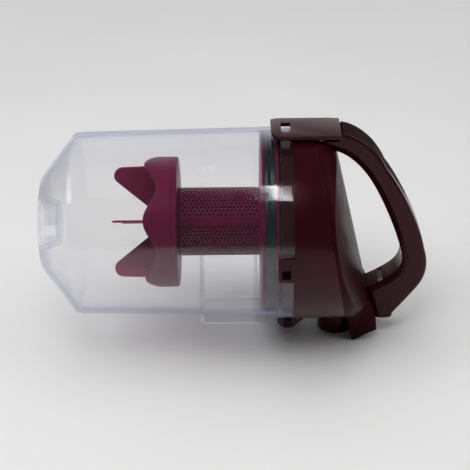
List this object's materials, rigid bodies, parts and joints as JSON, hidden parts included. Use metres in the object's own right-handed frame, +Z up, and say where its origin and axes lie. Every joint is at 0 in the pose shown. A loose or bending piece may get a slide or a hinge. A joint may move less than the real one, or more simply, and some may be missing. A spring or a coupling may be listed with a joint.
{
  "type": "vacuum cleaner dust canister",
  "caption": "Clear cyclone dust bin of a bagless canister vacuum cleaner, lying on its docking side, with a separator inside and a hinged lid that carries the filter, a loop handle and a latch.",
  "frame": {"origin": "centre of the assembly's footprint, on the plane that the inlet port, the outlet and the foot dock against", "axes": "+X along the bin's axis from its closed end to the handle, +Z up from the docking plane, +Y across the bin, towards the side with the inlet port"},
  "size_m": [0.31, 0.156, 0.1833],
  "materials": {
    "clear_plastic": "clear moulded polycarbonate, polished",
    "separator_plastic": "magenta burgundy moulded plastic, semi-gloss",
    "lid_plastic": "dark burgundy moulded plastic, polished",
    "seal_rubber": "dark blue-green rubber, smooth",
    "black_rubber": "black rubber, smooth",
    "soft_grip": "dark soft-touch grip with fine dots",
    "grey_plastic": "light grey moulded plastic",
    "filter_paper": "folded filter paper",
    "foam": "open-cell foam",
    "mesh": "fine nylon mesh",
    "steel": "bright steel"
  },
  "bodies": {
    "bin": {"bin_shell": "clear_plastic", "inlet_duct": "clear_plastic", "hinge_pin": "lid_plastic", "separator_plate": "separator_plastic", "plate_seal": "seal_rubber", "shroud_cage": "separator_plastic", "mesh_sleeve": "mesh", "baffle_skirt": "separator_plastic", "baffle_vanes": "separator_plastic", "baffle_screw": "steel"},
    "lid": {"lid_shell": "lid_plastic", "lid_seal": "black_rubber", "filter_frame": "grey_plastic", "filter_media": "filter_paper", "foam_prefilter": "foam", "end_cap": "lid_plastic", "cap_screws": "steel", "outlet_spigot": "lid_plastic", "handle_frame": "lid_plastic", "handle_liner": "lid_plastic", "liner_screws": "steel", "grip_pad": "soft_grip", "latch_pin": "steel", "latch_spring": "steel"},
    "latch": {"latch_lever": "lid_plastic"}
  },
  "joints": [
    {"name": "lid_hinge", "type": "hinge", "parent": "bin", "child": "lid", "pos_m": [0.04335, 0, 0.0113], "axis": [0, 1, 0], "range_deg": [0, 95]},
    {"name": "latch_pivot", "type": "hinge", "parent": "lid", "child": "latch", "pos_m": [0.06685, 0, 0.1761], "axis": [0, 1, 0], "range_deg": [0, 10], "stiffness_Nm_per_rad": 0.3, "springref_deg": -11.46, "deforming": ["latch_spring"]}
  ]
}
